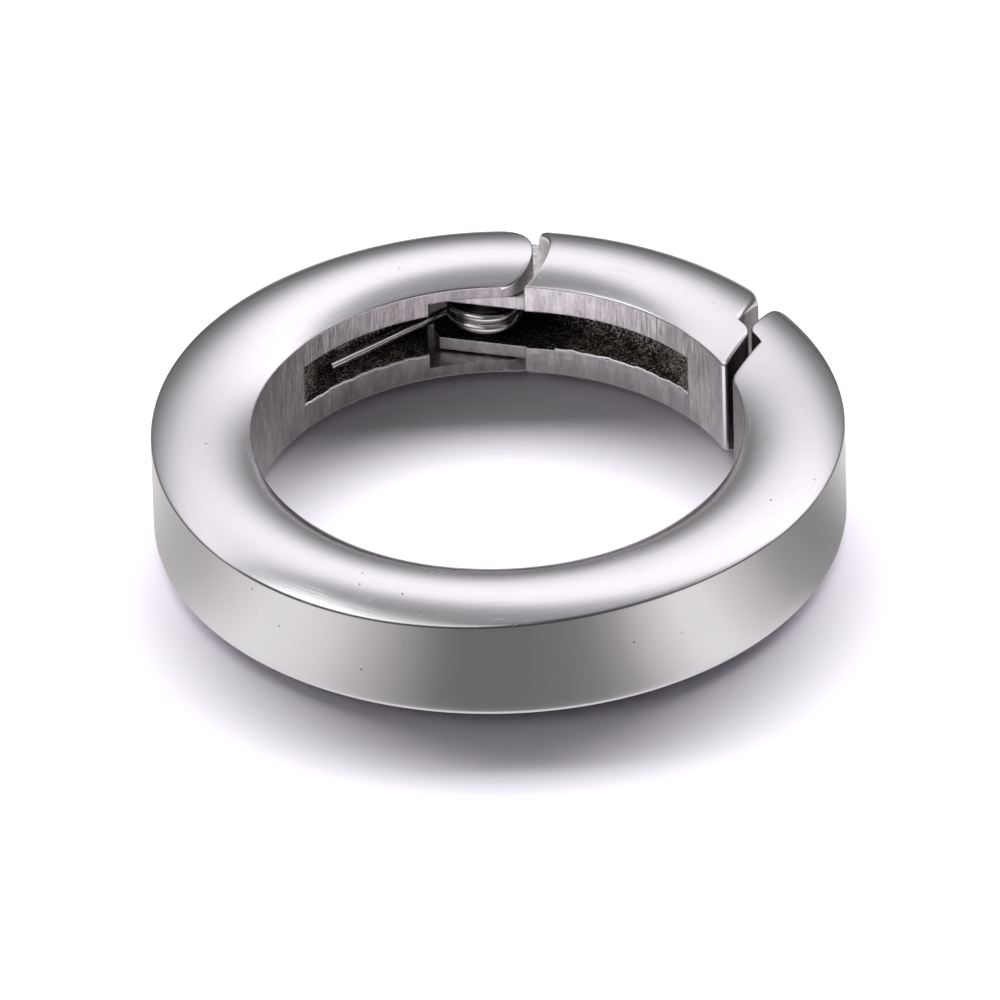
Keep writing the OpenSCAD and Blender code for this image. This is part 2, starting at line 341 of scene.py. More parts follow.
def band_piece(name, f, hinge_end, latch_end, lip_end, hinge_round, step_r, outer_lip, columns, materials):
    """A length of the band as a grid of rows whose rounded ends follow the plan curves of hinge and latch."""
    rows, step = top_rows(f, step_r)
    count = len(rows)
    way = math.copysign(1, latch_end(f.mid_r) - hinge_end(f.mid_r))
    outward = [min(max((r - f.mid_r) / (f.outer_r - f.mid_r), 0), 1) for r, _ in rows]
    lip_strips = range(step, count - 1) if outer_lip else range(step)
    main_strips = [i for i in range(count - 1) if i not in lip_strips]

    def edge(i, end, at_eye, at_wall, back):
        """Radius, turn and height of the points from an end wall round its edge to the band's face."""
        radius = at_eye + (at_wall - at_eye) * outward[i]
        r, z = rows[i]
        return [(r, end(r) + back * radius * (1 - math.sin(bend)) / r, z - radius * (1 - math.cos(bend)))
                for bend in np.linspace(math.pi / 2, 0, END_BENDS + 1)]

    def between(first, last, spans):
        """Points that divide the way between two points of a row."""
        return [(first[0], first[1] + (last[1] - first[1]) * k / spans, first[2]) for k in range(1, spans)]

    main, lip = {}, {}
    for i, (r, z) in enumerate(rows):
        hinge = edge(i, hinge_end, f.inner_break, hinge_round, way)
        knee = (r, latch_end(r) - way * 2 * f.end_corner * outward[i] / r, z)
        if i in main_strips or i - 1 in main_strips:
            latch = [knee] * (END_BENDS + 1)
            if i != step:
                latch = edge(i, latch_end, f.latch_break, f.end_break, -way)
            main[i] = hinge + between(hinge[-1], latch[-1], columns) + latch[::-1]
        if i in lip_strips or i - 1 in lip_strips:
            tip = edge(i, lip_end, f.latch_break, f.end_break, -way)
            lip[i] = (hinge + between(hinge[-1], knee, columns) + [knee]
                      + between(knee, tip[-1], LIP_COLUMNS) + tip[::-1])

    verts, index, faces, finish = [], {}, [], []

    def face(corners, material):
        """Adds a face through corners given as side, row and point, leaving out repeated ones."""
        numbers = []
        for corner in corners:
            if corner not in index:
                side, _, (r, turn, z) = corner
                index[corner] = len(verts)
                height = f.ring_h - z if side else z + sway(f, r, turn)
                verts.append((r * math.cos(turn), r * math.sin(turn), height))
            if index[corner] not in numbers:
                numbers.append(index[corner])
        if len(numbers) > 2:
            faces.append(numbers)
            finish.append(material)

    def upright(row, points, material):
        """A wall between the upper and the lower face along a row."""
        for p, q in zip(points, points[1:]):
            face([(0, row, p), (0, row, q), (1, row, q), (1, row, p)], material)

    for lines, strips in ((main, main_strips), (lip, lip_strips)):
        for i in strips:
            near, far = lines[i], lines[i + 1]
            for side in (0, 1):
                for k in range(len(near) - 1):
                    face([(side, i, near[k]), (side, i + 1, far[k]), (side, i + 1, far[k + 1]),
                          (side, i, near[k + 1])], BUFFED)
            # The rounded corner of the latch at the eye is bright, the rest of its end is filed
            at_eye = rows[i][0] < f.inner_r + f.latch_corner / 2
            for k, material in ((0, GROUND), (-1, BUFFED if at_eye else FILED)):
                face([(0, i, near[k]), (0, i + 1, far[k]), (1, i + 1, far[k]), (1, i, near[k])], material)
    inner, outer = (main, lip) if outer_lip else (lip, main)
    upright(0, inner[0], GROUND)
    upright(count - 1, outer[count - 1], BUFFED)
    upright(step, lip[step][END_BENDS + columns:], FILED)
    return mesh_object(name, verts, faces, materials, finish)


def smooth_finish(piece, degrees):
    """Smooth shading, broken at edges sharper than that angle."""
    mesh = piece.data
    mesh.polygons.foreach_set("use_smooth", [True] * len(mesh.polygons))
    mesh.set_sharp_from_angle(angle=math.radians(degrees))


def pocket_outline(f, end_direction, mirrored):
    """Plan of the pocket for the coil and a leg, which runs to the right unless it is mirrored."""
    start = f.pivot + f.back_wall * f.leg_out
    corner = start + (f.leg_l + f.pocket_end_gap) * f.leg_along
    mouth = f.inner_r * np.array([math.cos(end_direction), math.sin(end_direction)])
    inside = mouth + f.wire_d * (mouth - corner) / np.linalg.norm(mouth - corner)
    way_out = f.pivot + 2 * f.tongue_r * np.array([math.cos(f.web_end), math.sin(f.web_end)])
    arc = arc_points(f.pivot, f.back_wall, f.web_end, math.pi / 2 - f.leg_slope, WEB_POINTS)
    outline = arc + [corner, inside, np.zeros(2), np.array([-2 * f.tongue_r, f.inner_r / 2]), way_out]
    return [p * [-1, 1] for p in outline] if mirrored else outline


def add(tree, kind, links=(), **settings):
    """Adds a node, gives it its settings, and sets or links its inputs."""
    made = tree.nodes.new(kind)
    for key, value in settings.items():
        setattr(made, key, value)
    for socket, source in dict(links).items():
        if isinstance(source, bpy.types.NodeSocket):
            tree.links.new(source, made.inputs[socket])
        else:
            made.inputs[socket].default_value = source
    return made


def new_material(name):
    """An empty material and its tree."""
    material = bpy.data.materials.new(name)
    material.use_nodes = True
    material.node_tree.nodes.clear()
    return material, material.node_tree


def places_in_mm(tree):
    """Places on a piece, in millimetres."""
    place = add(tree, "ShaderNodeTexCoord").outputs["Object"]
    return add(tree, "ShaderNodeMapping", {"Vector": place, "Scale": (1 / MM,) * 3}).outputs["Vector"]


def lay_metal(tree, tone, rough, normal):
    """Ends a steel's tree with its bare metal surface."""
    metal = add(tree, "ShaderNodeBsdfPrincipled", {
        "Base Color": tone, "Metallic": 1.0, "Roughness": rough, "Normal": normal}).outputs["BSDF"]
    add(tree, "ShaderNodeOutputMaterial", {"Surface": metal})


def polished_stainless(name, colours):
    """Cast stainless steel, belt-polished and buffed: clear soft reflections, a faint ripple from the
    wheel, a fine grain, hairline scratches round the ring and a few pits that the casting left open."""
    material, tree = new_material(name)
    mm = places_in_mm(tree)
    # Widths in mm: the scratches, 0.01 mm wide, and the grain, finer than 0.05 mm, are drawn coarser
    ripple_w, haze_w, scratch_w, break_w, pit_room, grain_w = 2.2, 0.5, 0.04, 1.1, 0.6, 0.09
    ripple_d, grain_d, pit_d, edge_r = 0.02 * MM, 0.006 * MM, 0.02 * MM, 0.04 * MM
    ripple = add(tree, "ShaderNodeTexNoise", {
        "Vector": mm, "Scale": 1 / ripple_w, "Detail": 1.0}).outputs["Fac"]
    haze = add(tree, "ShaderNodeTexNoise", {
        "Vector": mm, "Scale": 1 / haze_w, "Detail": 4.0}).outputs["Fac"]
    # Scratches run round the ring: they vary only across it, and are broken off here and there
    flat = add(tree, "ShaderNodeVectorMath", {0: mm, 1: (1, 1, 0)}, operation="MULTIPLY").outputs["Vector"]
    across = add(tree, "ShaderNodeCombineXYZ", {
        "X": add(tree, "ShaderNodeVectorMath", {0: flat}, operation="LENGTH").outputs["Value"],
        "Y": add(tree, "ShaderNodeSeparateXYZ", {"Vector": mm}).outputs["Z"]}).outputs["Vector"]
    lines = add(tree, "ShaderNodeTexNoise", {
        "Vector": across, "Scale": 1 / scratch_w, "Detail": 2.0}).outputs["Fac"]
    lines = add(tree, "ShaderNodeMapRange", {
        "Value": lines, "From Min": 0.56, "From Max": 0.72}).outputs["Result"]
    broken = add(tree, "ShaderNodeTexNoise", {
        "Vector": mm, "Scale": 1 / break_w, "Detail": 3.0}).outputs["Fac"]
    broken = add(tree, "ShaderNodeMapRange", {
        "Value": broken, "From Min": 0.5, "From Max": 0.64}).outputs["Result"]
    scratch = add(tree, "ShaderNodeMath", {0: lines, 1: broken}, operation="MULTIPLY").outputs["Value"]
    # A pit in the middle of some cells
    cells = add(tree, "ShaderNodeTexVoronoi", {"Vector": mm, "Scale": 1 / pit_room}).outputs
    pit = add(tree, "ShaderNodeMapRange", {
        "Value": cells["Distance"], "From Min": 0.025, "From Max": 0.06,
        "To Min": 1.0, "To Max": 0.0}).outputs["Result"]
    few = add(tree, "ShaderNodeMath", {
        0: add(tree, "ShaderNodeSeparateColor", {"Color": cells["Color"]}).outputs["Red"], 1: 0.6},
        operation="GREATER_THAN").outputs["Value"]
    pit = add(tree, "ShaderNodeMath", {0: pit, 1: few}, operation="MULTIPLY").outputs["Value"]
    tone = add(tree, "ShaderNodeMix", {
        0: pit, 6: (*colours.polished, 1), 7: (*colours.pit, 1)}, data_type="RGBA").outputs[2]
    rough = add(tree, "ShaderNodeMapRange", {
        "Value": haze, "To Min": 0.15, "To Max": 0.24}).outputs["Result"]
    rough = add(tree, "ShaderNodeMath", {
        0: scratch, 1: 0.16, 2: rough}, operation="MULTIPLY_ADD").outputs["Value"]
    soft_edge = add(tree, "ShaderNodeBevel", {"Radius": edge_r}, samples=4).outputs["Normal"]
    grain = add(tree, "ShaderNodeTexNoise", {
        "Vector": mm, "Scale": 1 / grain_w, "Detail": 2.0}).outputs["Fac"]
    wave = add(tree, "ShaderNodeBump", {
        "Height": ripple, "Strength": 0.25, "Distance": ripple_d, "Normal": soft_edge}).outputs["Normal"]
    wave = add(tree, "ShaderNodeBump", {
        "Height": grain, "Strength": 0.25, "Distance": grain_d, "Normal": wave}).outputs["Normal"]
    dents = add(tree, "ShaderNodeMath", {
        0: scratch, 1: 0.12, 2: pit}, operation="MULTIPLY_ADD").outputs["Value"]
    bump = add(tree, "ShaderNodeBump", {
        "Height": dents, "Strength": 0.7, "Distance": pit_d, "Normal": wave}, invert=True).outputs["Normal"]
    lay_metal(tree, tone, rough, bump)
    return material


def ground_stainless(name, lighter, dull):
    """Stainless steel ground or filed along the ring's axis: satin, with fine upright marks, a few
    nicks, duller stained streaks and edges that are worn round and bright."""
    material, tree = new_material(name)
    mm = places_in_mm(tree)
    mark_w, stain_w, nick_w = 0.1, 0.35, 0.25
    # Along the ring's axis the marks are 12 times as long as they are wide, and the streaks 3 times
    mark_squeeze, streak_squeeze = (1, 1, 0.08), (1, 1, 0.35)
    mark_d, nick_d, edge_r = 0.03 * MM, 0.04 * MM, 0.05 * MM
    upright = add(tree, "ShaderNodeMapping", {"Vector": mm, "Scale": mark_squeeze}).outputs["Vector"]
    marks = add(tree, "ShaderNodeTexNoise", {
        "Vector": upright, "Scale": 1 / mark_w, "Detail": 5.0}).outputs["Fac"]
    streaky = add(tree, "ShaderNodeMapping", {"Vector": mm, "Scale": streak_squeeze}).outputs["Vector"]
    stain = add(tree, "ShaderNodeTexNoise", {
        "Vector": streaky, "Scale": 1 / stain_w, "Detail": 6.0, "Roughness": 0.7}).outputs["Fac"]
    stain = add(tree, "ShaderNodeMapRange", {
        "Value": stain, "From Min": 0.35, "From Max": 0.7}).outputs["Result"]
    tone = add(tree, "ShaderNodeMix", {0: stain, 6: (*lighter, 1), 7: (*dull, 1)}, data_type="RGBA").outputs[2]
    rough = add(tree, "ShaderNodeMapRange", {
        "Value": marks, "To Min": 0.24, "To Max": 0.5}).outputs["Result"]
    nicks = add(tree, "ShaderNodeTexNoise", {
        "Vector": mm, "Scale": 1 / nick_w, "Detail": 3.0}).outputs["Fac"]
    soft_edge = add(tree, "ShaderNodeBevel", {"Radius": edge_r}, samples=4).outputs["Normal"]
    dents = add(tree, "ShaderNodeBump", {
        "Height": nicks, "Strength": 0.6, "Distance": nick_d, "Normal": soft_edge}).outputs["Normal"]
    bump = add(tree, "ShaderNodeBump", {
        "Height": marks, "Strength": 0.7, "Distance": mark_d, "Normal": dents}).outputs["Normal"]
    lay_metal(tree, tone, rough, bump)
    return material


def cast_stainless(name, colours, coil):
    """Stainless steel as it left a shell mould: a rough skin of fine grains that glint, with dark scale
    between them, and painted shade that makes it almost black round the coil."""
    material, tree = new_material(name)
    mm = places_in_mm(tree)
    grain_w, lump_w, shade_r, lit_r = 0.075, 0.3, 1.5, 3.5
    grain_d, lump_d, edge_r = 0.05 * MM, 0.1 * MM, 0.05 * MM
    grains = add(tree, "ShaderNodeTexVoronoi", {"Vector": mm, "Scale": 1 / grain_w}).outputs["Distance"]
    lumps = add(tree, "ShaderNodeTexNoise", {
        "Vector": mm, "Scale": 1 / lump_w, "Detail": 4.0}).outputs["Fac"]
    hollow = add(tree, "ShaderNodeMath", {0: grains, 1: lumps}, operation="ADD").outputs["Value"]
    hollow = add(tree, "ShaderNodeMapRange", {
        "Value": hollow, "From Min": 0.65, "From Max": 1.1}).outputs["Result"]
    tone = add(tree, "ShaderNodeMix", {
        0: hollow, 6: (*colours.cast, 1), 7: (*colours.scale, 1)}, data_type="RGBA").outputs[2]
    # Painted shade round the coil: the skin darkens to almost black towards the coil, deep in the pockets
    away = add(tree, "ShaderNodeVectorMath", {
        0: mm, 1: tuple(c / MM for c in coil)}, operation="DISTANCE").outputs["Value"]
    lighter = add(tree, "ShaderNodeMapRange", {
        "Value": away, "From Min": shade_r, "From Max": lit_r, "To Min": 0.15},
        interpolation_type="SMOOTHSTEP").outputs["Result"]
    tone = add(tree, "ShaderNodeMix", {
        0: lighter, 6: (*colours.coil_shade, 1), 7: tone}, data_type="RGBA").outputs[2]
    soft_edge = add(tree, "ShaderNodeBevel", {"Radius": edge_r}, samples=4).outputs["Normal"]
    coarse = add(tree, "ShaderNodeBump", {
        "Height": lumps, "Strength": 0.8, "Distance": lump_d, "Normal": soft_edge}).outputs["Normal"]
    bump = add(tree, "ShaderNodeBump", {
        "Height": grains, "Strength": 1.0, "Distance": grain_d, "Normal": coarse},
        invert=True).outputs["Normal"]
    rough = add(tree, "ShaderNodeMapRange", {
        "Value": hollow, "To Min": 0.3, "To Max": 0.65}).outputs["Result"]
    lay_metal(tree, tone, rough, bump)
    return material


def drawn_wire(colours, wire_d):
    """Spring wire drawn through a die: bright, with fine lines along the wire from the die."""
    material, tree = new_material("Drawn spring wire")
    # Lines from the die are drawn wider than real
    line_w, line_l, line_d = 0.03 * MM, 2 * MM, 0.004 * MM
    across = add(tree, "ShaderNodeCombineXYZ", {
        "X": add(tree, "ShaderNodeAttribute", attribute_name="around").outputs["Fac"],
        "Y": add(tree, "ShaderNodeAttribute", attribute_name="along").outputs["Fac"]}).outputs["Vector"]
    stretch = (math.pi * wire_d / line_w, 1 / line_l, 1)
    across = add(tree, "ShaderNodeMapping", {"Vector": across, "Scale": stretch}).outputs["Vector"]
    lines = add(tree, "ShaderNodeTexNoise", {"Vector": across, "Scale": 1.0, "Detail": 3.0}).outputs["Fac"]
    rough = add(tree, "ShaderNodeMapRange", {
        "Value": lines, "To Min": 0.1, "To Max": 0.26}).outputs["Result"]
    bump = add(tree, "ShaderNodeBump", {
        "Height": lines, "Strength": 0.4, "Distance": line_d}).outputs["Normal"]
    lay_metal(tree, (*colours.wire, 1), rough, bump)
    return material


def turned_pin_steel(colours, pivot):
    """Stainless pin, turned and ground flush with the ring: a satin shine with fine rings from the lathe."""
    material, tree = new_material("Turned stainless pin")
    ring_w, ring_d = 0.04, 0.006 * MM
    place = add(tree, "ShaderNodeTexCoord").outputs["Object"]
    from_axis = add(tree, "ShaderNodeMapping", {
        "Vector": place, "Location": (-pivot[0] / MM, -pivot[1] / MM, 0),
        "Scale": (1 / MM, 1 / MM, 0)}).outputs["Vector"]
    radius = add(tree, "ShaderNodeVectorMath", {0: from_axis}, operation="LENGTH").outputs["Value"]
    rings = add(tree, "ShaderNodeTexNoise", {
        "W": radius, "Scale": 1 / ring_w, "Detail": 3.0}, noise_dimensions="1D").outputs["Fac"]
    rough = add(tree, "ShaderNodeMapRange", {
        "Value": rings, "To Min": 0.18, "To Max": 0.38}).outputs["Result"]
    bump = add(tree, "ShaderNodeBump", {
        "Height": rings, "Strength": 0.4, "Distance": ring_d}).outputs["Normal"]
    lay_metal(tree, (*colours.pin, 1), rough, bump)
    return material


def body_finishes():
    """The finishes of the cast pieces, made once: buffed, ground, as cast, filed, and ground and stained."""
    names = ("Buffed cast stainless steel", "Ground stainless steel", "As-cast stainless steel",
             "Filed stainless steel", "Stained ground stainless steel")
    if names[0] not in bpy.data.materials:
        colours = bpy.context.scene.gate_ring_colours
        f = ring_form(bpy.context.scene.gate_ring_sizes)
        polished_stainless(names[0], colours)
        ground_stainless(names[1], colours.ground, colours.stained)
        cast_stainless(names[2], colours, (*f.pivot, f.mid_z))
        # The filed ends' dark tones are partly painted shade in the latch gap
        ground_stainless(names[3], colours.filed, colours.grime_and_shade)
        ground_stainless(names[4], colours.stained, colours.filed)
    return [bpy.data.materials[name] for name in names]


def nose_end(f, radius):
    """Angle of the nose at a distance from the ring's axis, with its rounding into the eye's wall."""
    spoke = f.fillet_centre - f.nose_centre
    joint = f.nose_centre + spoke * f.nose_r / np.linalg.norm(spoke)
    if radius < np.linalg.norm(joint):
        return plan_crossing(radius, f.fillet_centre, f.nose_fillet)
    return plan_crossing(radius, f.nose_centre, f.nose_r)


class GATERING_OT_body(bpy.types.Operator):
    """Build the body: the long part of the band with the cheeks, the spring pocket and the outer lip"""

    bl_idname = "gate_ring.body"
    bl_label = "Ring body"

    def execute(self, context):
        f = ring_form(context.scene.gate_ring_sizes)
        buffed, _, cast, filed, stained = body_finishes()
        reach, step_r = f.gate_reach + f.latch_gap, f.lap_r + f.lap_play
        full = 2 * math.pi
        body = band_piece(
            "ring_body_steel", f,
            hinge_end=lambda r: nose_end(f, r),
            latch_end=cornered(lambda r: full + plan_crossing(r, f.pivot, reach + f.lip_l), -1,
                               (f.inner_r, -1, f.latch_corner)),
            lip_end=cornered(lambda r: full + plan_crossing(r, f.pivot, reach), -1,
                             (f.outer_r, 1, f.end_corner), (step_r, -1, f.latch_corner)),
            hinge_round=f.nose_break, step_r=step_r, outer_lip=True, columns=300,
            materials=[buffed, stained, cast, filed])
        low, high = f.mid_z - f.slot_h / 2, f.mid_z + f.slot_h / 2
        floor_y = f.inner_r - f.slot_r
        slot = [np.array([-f.slot_r, floor_y]), np.array([f.slot_r, floor_y]),
                *arc_points(f.pivot, f.slot_r, 0, math.pi, SLOT_POINTS)]
        combine(body, prism("slot", slot, low, high, stained), "DIFFERENCE")
        half = f.body_pocket_h / 2
        outline = pocket_outline(f, math.pi - f.body_pocket_end, mirrored=True)
        combine(body, prism("pocket", outline, f.mid_z - half, f.mid_z + half, cast), "DIFFERENCE")
        hole = arc_points(f.pivot, f.pin_d / 2 + f.pin_seam, 0, full, PIN_SIDES + 1)[:-1]
        combine(body, prism("pin_hole", hole, -f.ring_h, f.pin_top + f.pin_seam, stained), "DIFFERENCE")
        smooth_finish(body, degrees=30)
        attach(body, "ring")
        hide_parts("ring_body")
        return {"FINISHED"}


class GATERING_OT_gate(bpy.types.Operator):
    """Build the gate: the swinging part of the band with its tongue, its spring pocket and the inner lip"""

    bl_idname = "gate_ring.gate"
    bl_label = "Gate"

    def execute(self, context):
        f = ring_form(context.scene.gate_ring_sizes)
        buffed, ground, cast, filed, _ = body_finishes()
        gate = band_piece(
            "gate_steel", f,
            hinge_end=cornered(lambda r: plan_crossing(r, f.shoulder_centre, f.shoulder_r), -1,
                               (f.outer_r, 1, f.end_corner)),
            latch_end=cornered(lambda r: plan_crossing(r, f.pivot, f.gate_reach), 1,
                               (f.outer_r, 1, f.end_corner)),
            lip_end=cornered(lambda r: plan_crossing(r, f.pivot, f.gate_reach + f.lip_l), 1,
                             (f.lap_r, 1, f.latch_corner), (f.inner_r, -1, f.latch_corner)),
            hinge_round=f.end_break, step_r=f.lap_r, outer_lip=False, columns=52,
            materials=[buffed, ground, cast, filed])
        combine(gate, self.tongue(f, ground), "UNION")
        half = f.gate_pocket_h / 2
        outline = pocket_outline(f, f.gate_pocket_end, mirrored=False)
        combine(gate, prism("pocket", outline, f.mid_z - half, f.mid_z + half, cast), "DIFFERENCE")
        hole = arc_points(f.pivot, f.pin_d / 2 + f.pin_play, 0, 2 * math.pi, PIN_SIDES + 1)[:-1]
        combine(gate, prism("pin_hole", hole, -f.ring_h, 2 * f.ring_h, ground), "DIFFERENCE")
        smooth_finish(gate, degrees=30)
        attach(gate, "gate")
        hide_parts("gate")
        return {"FINISHED"}

    @staticmethod
    def tongue(f, material):
        """The plate with a round end that goes between the cheeks and roots in the gate."""
        outer, root_r = f.outer_r - f.tongue_inset, f.shoulder_r + 2 * f.wire_d
        out = np.array([math.cos(f.tongue_flat), math.sin(f.tongue_flat)])
        along = np.array([-out[1], out[0]])
        flat = (f.inner_r + f.tongue_inset) * out

        def flat_meets(centre, reach, side):
            """Where the straight wall meets a plan circle, on the circle's left (1) or its right (-1)."""
            off = flat - centre
            half_chord = math.sqrt(reach ** 2 - off @ off + (off @ along) ** 2)
            return flat + along * (side * half_chord - off @ along)

        foot = flat_meets(f.pivot, f.tongue_r, 1) - f.pivot
        round_end = math.atan2(foot[1], foot[0]) % (2 * math.pi)
        outline = arc_points(f.pivot, f.tongue_r, math.pi / 2, round_end, TONGUE_POINTS)
        outer_right = plan_crossing(outer, f.shoulder_centre, root_r)
        root = [p - f.shoulder_centre for p in (
            flat_meets(f.shoulder_centre, root_r, -1),
            outer * np.array([math.cos(outer_right), math.sin(outer_right)]))]
        root_turns = [math.atan2(p[1], p[0]) for p in root]
        outline += arc_points(f.shoulder_centre, root_r, *root_turns, TONGUE_ROOT_POINTS)
        outline += arc_points((0, 0), outer, outer_right, math.pi / 2, TONGUE_WALL_POINTS)[1:]
        half = f.tongue_h / 2
        plate = prism("tongue", outline, f.mid_z - half, f.mid_z + half, material)
        step = plate.modifiers.new("Tumbled edges", "BEVEL")
        step.width, step.segments = f.tongue_break, 4
        step.limit_method, step.angle_limit = "ANGLE", math.radians(60)
        return bake_modifiers(plate)


def wire_tree():
    """Nodes that sweep a round wire along a path of edges."""
    tree = bpy.data.node_groups.new("Swept wire", "GeometryNodeTree")
    face = tree.interface
    face.new_socket("Path", in_out="INPUT", socket_type="NodeSocketGeometry")
    face.new_socket("Wire Radius", in_out="INPUT", socket_type="NodeSocketFloat")
    face.new_socket("Sides", in_out="INPUT", socket_type="NodeSocketInt")
    face.new_socket("Finish", in_out="INPUT", socket_type="NodeSocketMaterial")
    face.new_socket("Wire", in_out="OUTPUT", socket_type="NodeSocketGeometry")
    given = add(tree, "NodeGroupInput").outputs
    path = add(tree, "GeometryNodeMeshToCurve", {"Mesh": given["Path"]}).outputs["Curve"]
    section = add(tree, "GeometryNodeCurvePrimitiveCircle", {
        "Resolution": given["Sides"], "Radius": given["Wire Radius"]}).outputs["Curve"]
    run = add(tree, "GeometryNodeSplineParameter").outputs
    path = add(tree, "GeometryNodeStoreNamedAttribute", {
        "Geometry": path, "Name": "along", "Value": run["Length"]}).outputs["Geometry"]
    section = add(tree, "GeometryNodeStoreNamedAttribute", {
        "Geometry": section, "Name": "around", "Value": run["Factor"]}).outputs["Geometry"]
    wire = add(tree, "GeometryNodeCurveToMesh", {
        "Curve": path, "Profile Curve": section, "Fill Caps": True}).outputs["Mesh"]
    real = add(tree, "GeometryNodeRealizeInstances", {"Geometry": wire}).outputs["Geometry"]
    done = add(tree, "GeometryNodeSetMaterial", {
        "Geometry": real, "Material": given["Finish"]}).outputs["Geometry"]
    add(tree, "NodeGroupOutput", {"Wire": done})
    return tree


def swept(name, path, diameter, sides, finish):
    """A plain mesh of a round wire along a path, with the places along and around it kept for its finish."""
    wire = bpy.data.objects.new(name, bpy.data.meshes.new(name))
    wire.data.from_pydata(path, [(i, i + 1) for i in range(len(path) - 1)], [])
    bpy.context.scene.collection.objects.link(wire)
    tree = bpy.data.node_groups.get("Swept wire") or wire_tree()
    sweep = wire.modifiers.new("Wire", "NODES")
    sweep.node_group = tree
    inputs = {item.name: item.identifier for item in tree.interface.items_tree if item.in_out == "INPUT"}
    sweep[inputs["Wire Radius"]] = diameter / 2
    sweep[inputs["Sides"]] = sides
    sweep[inputs["Finish"]] = finish
    return bake_modifiers(wire)


class GATERING_OT_spring(bpy.types.Operator):
    """Sweep the wire of the torsion spring along its leg, coil and other leg"""

    bl_idname = "gate_ring.spring"
    bl_label = "Torsion spring"

    def execute(self, context):
        f = ring_form(context.scene.gate_ring_sizes)
        finish = drawn_wire(context.scene.gate_ring_colours, f.wire_d)
        spring = swept("spring_wire_coil", self.wire_path(f), f.wire_d, sides=28, finish=finish)
        smooth_finish(spring, degrees=40)
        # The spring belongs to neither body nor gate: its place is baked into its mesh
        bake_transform(spring)
        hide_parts("torsion_spring")
        return {"FINISHED"}

    @staticmethod
    def wire_path(f):
        """Points from the tip of the body's leg, up round the clockwise coil, to the gate's leg's tip."""
        tip = f.pivot + f.coil_r * f.leg_out + f.leg_l * f.leg_along
        root = f.pivot + f.coil_r * f.leg_out
        low = f.mid_z - f.coil_rise / 2
        shares = np.linspace(0, 1, LEG_SPANS + 1)[:-1]
        leg_in = [(-(tip + (root - tip) * t)[0], (tip + (root - tip) * t)[1], low) for t in shares]
        first = math.pi / 2 + f.leg_slope
        coil = [(f.pivot[0] + f.coil_r * math.cos(first - f.turn_angle * t),
                 f.pivot[1] + f.coil_r * math.sin(first - f.turn_angle * t), low + f.coil_rise * t)
                for t in np.linspace(0, 1, COIL_POINTS)]
        leg_out = [(*(tip + (root - tip) * t), low + f.coil_rise) for t in shares[::-1]]
        return leg_in + coil + leg_out


class GATERING_OT_burrs(bpy.types.Operator):
    """Sweep the thin bright burrs that grinding left along the lower lips of the two spring pockets"""

    bl_idname = "gate_ring.burrs"
    bl_label = "Pocket burrs"

    def execute(self, context):
        f = ring_form(context.scene.gate_ring_sizes)
        slot_side = math.pi / 2 + math.asin(f.slot_r / f.inner_r)
        # The lip is uneven: strength, number to a full circle and start of the slow and quick waves along it
        waves = ((1, 37, 0), (0.7, 83, 1), (0.4, 190, 2))
        deep, high = 0.06 * f.burr_d, 0.1 * f.burr_d
        for name, body, pocket_h, first, last in (
                ("body_pocket_burr", "ring", f.body_pocket_h, f.body_pocket_end, slot_side),
                ("gate_pocket_burr", "gate", f.gate_pocket_h, f.gate_pocket_end, f.tongue_flat)):
            path = []
            for turn in np.linspace(first, last, BURR_POINTS):
                wave = sum(strength * math.sin(rate * turn + start) for strength, rate, start in waves)
                r = f.inner_r + f.burr_d / 2 + deep * wave
                path.append((r * math.cos(turn), r * math.sin(turn), f.mid_z - pocket_h / 2 + high * wave))
            burr = swept(name, path, f.burr_d, sides=12, finish=body_finishes()[BUFFED])
            smooth_finish(burr, degrees=60)
            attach(burr, body)
        return {"FINISHED"}


class GATERING_OT_pin(bpy.types.Operator):
    """Turn the pivot pin, flush with the domed underside"""

    bl_idname = "gate_ring.pin"
    bl_label = "Pivot pin"

    def execute(self, context):
        f = ring_form(context.scene.gate_ring_sizes)
        radius, chamfer = f.pin_d / 2, 0.03 * MM
        # Rings of points outwards from the middle of the flush end: radius, and height or place on the dome
        end_shares = (0.25, 0.5, 0.75, 0.93)
        profile = [(radius * share, "flush") for share in end_shares]
        profile += [(radius - chamfer, "flush"), (radius, "edge"), (radius, f.pin_top - 2 * chamfer),
                    (radius - 2 * chamfer, f.pin_top)]
        verts = [(*f.pivot, f.ring_h - dome_height(f, f.pivot[1]))]
        for r, height in profile:
            for k in range(PIN_SIDES):
                a = 2 * math.pi * k / PIN_SIDES
                x, y = f.pivot[0] + r * math.cos(a), f.pivot[1] + r * math.sin(a)
                flush = f.ring_h - dome_height(f, math.hypot(x, y))
                z = {"flush": flush, "edge": flush + chamfer / 2}.get(height, height)
                verts.append((x, y, z))
        faces = [(0, 1 + k, 1 + (k + 1) % PIN_SIDES) for k in range(PIN_SIDES)]
        for ring in range(len(profile) - 1):
            low = 1 + ring * PIN_SIDES
            high = low + PIN_SIDES
            faces += [(low + k, high + k, high + (k + 1) % PIN_SIDES, low + (k + 1) % PIN_SIDES)
                      for k in range(PIN_SIDES)]
        faces.append(tuple(range(len(verts) - PIN_SIDES, len(verts))))
        finish = turned_pin_steel(context.scene.gate_ring_colours, f.pivot)
        pin = mesh_object("pivot_pin_steel", verts, faces, [finish])
        smooth_finish(pin, degrees=30)
        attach(pin, "ring")
        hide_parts("pivot_pin")
        return {"FINISHED"}


def spread_levels(ramp, levels, last, tint):
    """Gives a colour ramp its tinted levels by degrees, as shares of the brightest one, which it returns."""
    brightest = max(level for _, level in levels)
    ramp.color_ramp.interpolation = "CARDINAL"
    stops = ramp.color_ramp.elements
    while len(stops) < len(levels):
        stops.new(0.5)
    for stop, (degrees, level) in zip(stops, levels):
        stop.position, stop.color = degrees / last, (*[level / brightest * part for part in tint], 1)
    return brightest


